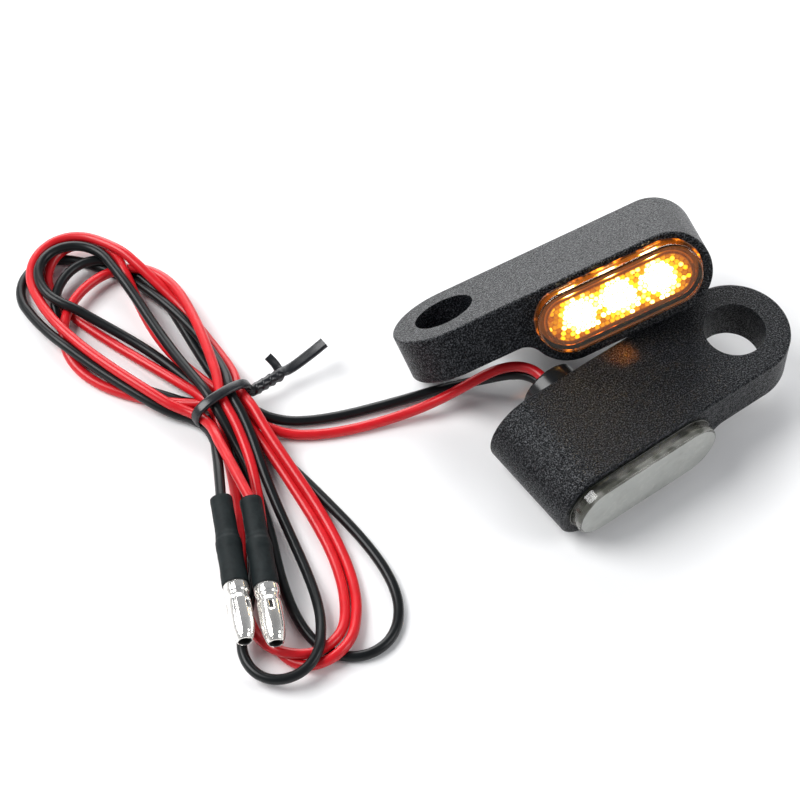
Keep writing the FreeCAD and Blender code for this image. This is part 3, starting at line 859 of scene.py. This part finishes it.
def tie_strand(which, side, knot, material):
    """Half of the twisted pair and the free end that it runs out into, flat side up."""
    axis = (knot - side).normalized()
    level = axis.cross(Vector((0, 0, 1))).normalized()
    above = level.cross(axis)
    controls = []
    for step in range(STRAND_POINTS + 1):
        share = step / STRAND_POINTS
        angle = 2 * math.pi * STRAND_TURNS * share + math.pi * which
        radius = STRAND_RADIUS * (0.5 + 0.5 * min(1.0, share * 6))
        controls.append(side + (knot - side) * share + level * radius * math.cos(angle)
                        + above * radius * math.sin(angle))
    free_end = TIE_LONG_END if which == 0 else TIE_SHORT_END
    controls += [knot + Vector(step) for step in free_end]
    line = smooth_line(controls)
    free_from = STRAND_POINTS / (len(controls) - 1)
    section = [(a, h + (STRAND_RIDGE if abs(a) < .0003 and h > 0 else 0.0))
               for a, h in rounded_bar(*STRAND_SECTION)]
    wide = 1.2 if which == 0 else 0.9

    def twist(share):
        return 2 * math.pi * STRAND_TURNS * min(share / free_from, 1.0) + math.pi * (which + 0.5)

    def scale(share):
        opened = min(1.0, max(0.0, (share / free_from - 0.92) / 0.16))
        return 1.0 + (wide - 1.0) * opened, 1.0
    points, faces = swept(line, section, (0, 0, 1), twist, scale)
    name = "tie_long_end" if which == 0 else "tie_short_end"
    return piece(name, points, faces, "lower_lamp", material)


# ---- light units ----
def node_points(name):
    """Vertices of a CAD node, one row each."""
    mesh = NODES[name].data
    points = np.zeros(len(mesh.vertices) * 3)
    mesh.vertices.foreach_get("co", points)
    return points.reshape(-1, 3)


def light_frame(lamp):
    """Frame of a lamp's bead plate and its half sizes: X along the pod, Y out through the lens, Z up."""
    mesh = NODES[lamp + "_optic"].data
    flat = max(mesh.polygons, key=lambda face: face.area).normal.copy()
    points = node_points(lamp + "_optic")
    outwards = points.mean(0) - node_points(lamp + "_light_tray").mean(0)
    front = flat if flat.dot(Vector(outwards)) > 0 else -flat
    up = Vector(MOUNTS[lamp + "_stem_hole"]["axis"]).normalized()
    up = (up - front * up.dot(front)).normalized()
    along = front.cross(up)
    axes = np.array((along, front, up))
    local = points @ axes.T
    low, high = local.min(0), local.max(0)
    middle = Vector(((low + high) / 2) @ axes)
    place = Matrix((along, front, up)).transposed().to_4x4()
    place.translation = middle
    return place, (high - low) / 2


def stadium_half(x, half_long, radius):
    """Half width of a plate with half-round ends, at a place along it."""
    past = max(0.0, abs(x) - (half_long - radius))
    return math.sqrt(max(radius * radius - past * past, 0.0))


def bead_at(x, z):
    """Nearest bead's middle in the six-sided pattern, and the distance to it."""
    row_step = BEAD_PITCH * math.sqrt(3) / 2
    row = round(z / row_step)
    best = None
    for r in (row - 1, row, row + 1):
        shift = BEAD_PITCH / 2 if r % 2 else 0.0
        column = round((x - shift) / BEAD_PITCH)
        middle = (column * BEAD_PITCH + shift, r * row_step)
        far = math.hypot(x - middle[0], z - middle[1])
        if best is None or far < best[1]:
            best = (middle, far)
    return best


def bead_field(place, half, lamps_x, lit):
    """Front and back points of a bead plate, row by row, and the level of light at each front point."""
    half_long, half_thick, radius = half
    front, back, glow = [], [], []
    for i in range(PLATE_COLUMNS):
        x = (half_long - 0.00002) * (-1 + 2 * i / (PLATE_COLUMNS - 1))
        reach = stadium_half(x, half_long, radius)
        for j in range(PLATE_ROWS):
            z = reach * (-1 + 2 * j / (PLATE_ROWS - 1))
            (bx, bz), far = bead_at(x, z)
            inwards = radius - math.hypot(max(0.0, abs(x) - (half_long - radius)), z)
            field = max(0.0, min(1.0, (inwards - BEAD_BORDER) / BEAD_FADE))
            dome = math.sqrt(max(0.0, 1 - (far / (BEAD_PITCH * 0.5)) ** 2))
            front.append(place @ Vector((x, half_thick - BEAD_HEIGHT * (1 - dome * field), z)))
            back.append(place @ Vector((x, -half_thick, z)))
            on_bead = far < BEAD_PITCH * 0.48
            level = glow_at(bx, bz, dome, lamps_x) if on_bead else glow_at(x, z, 0.0, lamps_x) * 0.75
            border = border_glow_at(x, z, inwards, lamps_x)
            glow.append(border + (level - border) * field if lit else 0.0)
    return front, back, glow


def plate_edge(columns, rows):
    """Numbers of the points once round a grid's edge."""
    edge = [i * rows for i in range(columns)] + [(columns - 1) * rows + j for j in range(1, rows)]
    return edge + [i * rows + rows - 1 for i in range(columns - 2, -1, -1)] + list(range(rows - 2, 0, -1))


def make_bead_plate(lamp, material):
    """Moulded plate whose front is a field of small round beads inside a plain border."""
    place, half = light_frame(lamp)
    lit = lamp == "upper"
    lamps_x = led_centres(lamp, place)
    front, back, glow = bead_field(place, half, lamps_x, lit)
    total = len(front)
    grid = grid_faces(PLATE_COLUMNS, PLATE_ROWS, around=False)
    faces = [tuple(reversed(f)) for f in grid] + [tuple(k + total for k in f) for f in grid]
    edge = plate_edge(PLATE_COLUMNS, PLATE_ROWS)
    back_to_plate = place.inverted()
    rim, rim_glow = [], []
    for k in edge:
        local = back_to_plate @ front[k]
        rim += [front[k], back[k]]
        rim_glow += [rim_glow_at(local.x, local.z, half[2], lamps_x, lit)] * 2
    for k in range(len(edge)):
        here, after = 2 * (total + k), 2 * (total + (k + 1) % len(edge))
        faces.append((here, after, after + 1, here + 1))
    made = piece(lamp + "_bead_plate", front + back + rim, faces, lamp + "_lamp", material)
    attribute = made.data.attributes.new("glow", "FLOAT", "POINT")
    attribute.data.foreach_set("value", glow + glow + rim_glow)
    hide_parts(lamp + "_optic")
    return place, half


def border_glow_at(x, z, inwards, lamps_x):
    """Level on the plain border: dark, but for the glare of each diode at its upper edge."""
    spot = sum(math.exp(-((x - lx) / EDGE_SPREAD) ** 2) for lx in lamps_x)
    edge = max(0.0, 1 - inwards / EDGE_DEPTH)
    return 0.03 + (1.1 * spot + 0.25) * edge * (z > 0)


def rim_glow_at(x, z, radius, lamps_x, lit):
    """Level on the plate's rim: hot spots by the diodes when lit, painted shade at their windows when not.
    """
    if not lit:
        # painted shade: near black at each diode's window when unlit
        window = max(math.exp(-((x - lx) / RIM_SHADE_HALF_WIDTH) ** 6) for lx in lamps_x)
        return 0.42 + 0.58 * window
    upper = max(0.0, z / radius)
    spot = sum(math.exp(-((x - lx) / RIM_SPREAD) ** 2) for lx in lamps_x) * upper
    uneven = noise.noise(Vector((x * 900, z * 900, 7.7))) * 0.2 * (0.3 + upper)
    return max(0.0, min(1.4, 0.08 + 0.34 * upper ** 3 + uneven + 1.5 * spot))


def led_centres(lamp, place):
    """Places of the three diodes along the pod, in the light unit's frame."""
    turned_back = np.array(place.to_3x3())
    along = (node_points(lamp + "_leds") - np.array(place.translation)) @ turned_back[:, 0]
    return [along.min() + DIODE_WIDTH / 2, (along.min() + along.max()) / 2, along.max() - DIODE_WIDTH / 2]


def glow_at(x, z, dome, lamps_x):
    """Share of full brightness at a bead: hottest over the diodes, uneven from bead to bead."""
    up = (z - HEAT_RAISED) / HEAT_SPREAD[1]
    heat = sum(math.exp(-math.hypot((x - lx) / HEAT_SPREAD[0], up) ** 4) for lx in lamps_x)
    wide = sum(math.exp(-((x - lx) / WIDE_SPREAD[0]) ** 2 - (z / WIDE_SPREAD[1]) ** 2) for lx in lamps_x)
    uneven = noise.noise(Vector((x * 1500, z * 1500, 3.1))) * 0.62
    level = 0.25 + 0.66 * heat + 0.34 * wide + uneven * (1 - 0.6 * min(heat, 1)) + 0.12 * dome
    return max(0.0, min(1.0, level))


def make_seal(lamp, place, half, material):
    """Bead of sealant in the gap between the lens and its pocket."""
    half_long, _, radius = half
    straight = half_long - radius
    reach = radius + LENS_GAP + LENS_WALL + SEAL_OUTSET
    line = []
    for end in (1, -1):
        for step in range(25):
            angle = math.radians(180 * step / 24 - 90 * end)
            wave = 0.00003 * noise.noise(Vector((step * 0.9, end * 5.0, 1.0)))
            line.append(place @ Vector((end * straight + (reach + wave) * math.cos(angle), -SEAL_BACK,
                                        (reach + wave) * math.sin(angle))))
    up = place.to_3x3() @ Vector((0, 1, 0))
    points, faces = swept(line, rounded_bar(*SEAL_SECTION), up, closed=True)
    return piece(lamp + "_lens_seal", points, faces, lamp + "_lamp", material, 60)


# ---- CAD nodes that stay ----
def finish_node(name, material):
    """Gives one CAD node a material."""
    mesh = NODES[name].data
    mesh.materials.clear()
    mesh.materials.append(material)


def finish_cad_nodes(coat):
    """Gives every carried-over node its finish."""
    rubber = plastic("grommet_rubber", (.004, .0045, .005), (.009, .010, .011), 0.24, scale=700,
                     specular=0.4)
    board = plastic("board_green", (.012, .075, .030), (.018, .10, .042), 0.35, scale=1600)
    chip = plastic("chip_black", (.010, .010, .011), (.018, .018, .019), 0.35, scale=2600)
    tray = plastic("tray_dark", (.012, .013, .010), (.022, .023, .018), 0.3, scale=900)
    resin = plastic("potting_resin", (.030, .032, .036), (.055, .058, .062), 0.18, scale=350, strength=0.4)
    white = plastic("reflector_white", (.58, .57, .53), (.70, .69, .65), 0.3, scale=700)
    leads = plastic("inner_lead_insulation", (.30, .012, .014), (.42, .016, .018), 0.35, scale=420)
    led = plastic("led_body", (.62, .55, .25), (.78, .70, .34), 0.3, scale=1500)
    lit = glowing("led_lit", (.90, .70, .30), (1.0, .80, .30), 8.0)
    # painted light: the lit lamp's reflector is dark amber and glows, in place of the diodes' light
    # falling on it
    painted_lit_reflector = glowing("reflector_lit", (.16, .045, .008), (1.0, .34, .02), 0.12)
    clear = clear_lens("lens_clear", (.74, .73, .68), 0.06, 0.2)
    frosted_front(clear, light_frame("lower")[0].to_3x3() @ Vector((0, 1, 0)), (.50, .515, .49))
    # painted light: the lit lens is tinted amber for the diodes' light passing through it; the unlit lens
    # is clear
    amber = clear_lens("lens_amber_lit", (1.0, .76, .42), 0.04, 0.25)
    finishes = {
        "housing": (coat, coat), "grommet": (rubber, rubber), "circuit_board": (board, board),
        "board_chips": (chip, chip), "light_tray": (tray, tray), "potting": (resin, resin),
        "reflector": (white, painted_lit_reflector), "leds": (led, lit), "lens": (clear, amber)}
    for kind, (lower, upper) in finishes.items():
        finish_node("lower_" + kind, lower)
        finish_node("upper_" + kind, upper)
    finish_node("lower_inner_leads", leads)


def main():
    make_camera()
    red_pvc = pvc("wire_red", (.54, .008, .013), (.64, .011, .018), 0.30)
    black_pvc = pvc("wire_black", (.005, .006, .0068), (.009, .0104, .0112), 0.30, specular=0.25)
    shrink = plastic("heat_shrink", (.0030, .0060, .0068), (.0060, .0110, .0120), 0.6, scale=1300,
                     strength=0.35, specular=0.20)
    tie_plastic = plastic("tie_plastic", (.006, .007, .009), (.012, .0135, .016), 0.27, scale=800)
    # painted shade for the bullets' windows and bores
    painted_recess_shade = plastic("painted_recess_shade", (.010, .010, .010), (.022, .021, .020), 0.5)
    metal = tin()
    red_tip, black_tip = connector_tip("red"), connector_tip("black")
    rods = [(np.array(tail[-1]), np.array(tip), SLEEVE_PROFILE[-2][1] + WIRE_R)
            for tail, tip in ((RED_TAIL, red_tip), (BLACK_TAIL, black_tip))]
    red_line, black_line = settle(
        [wire_line(RED_LEAD, RED_WAY, RED_TAIL), wire_line(BLACK_LEAD, BLACK_WAY, BLACK_TAIL)], rods)
    red_cord = make_cord("red_wire", thinned(red_line, RED_LEAD, RED_TAIL), red_pvc)
    black_cord = make_cord(
        "black_wire", thinned(black_line, BLACK_LEAD, BLACK_TAIL), black_pvc)
    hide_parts("red_wire_lead", "red_wire_tail", "lead_hank")
    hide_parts("black_wire_lead", "black_wire_tail", "lead_hank")
    red_end = [make_sleeve("red", RED_TAIL[-1], red_tip, shrink),
               make_bullet("red", RED_TAIL[-1], red_tip, metal, painted_recess_shade)]
    black_end = [make_sleeve("black", BLACK_TAIL[-1], black_tip, shrink),
                 make_bullet("black", BLACK_TAIL[-1], black_tip, metal, painted_recess_shade)]
    tie = make_tie(tie_plastic)
    finish_cad_nodes(powder_coat())
    lower_place, lower_half = make_bead_plate("lower", unlit_optic())
    upper_place, upper_half = make_bead_plate("upper", lit_optic())
    seal = plastic("seal_dark", (.010, .012, .006), (.020, .022, .012), 0.12)
    make_seal("lower", lower_place, lower_half, seal)
    make_seal("upper", upper_place, upper_half, lit_seal())
    make_glint(upper_place)
    make_studio()


main()
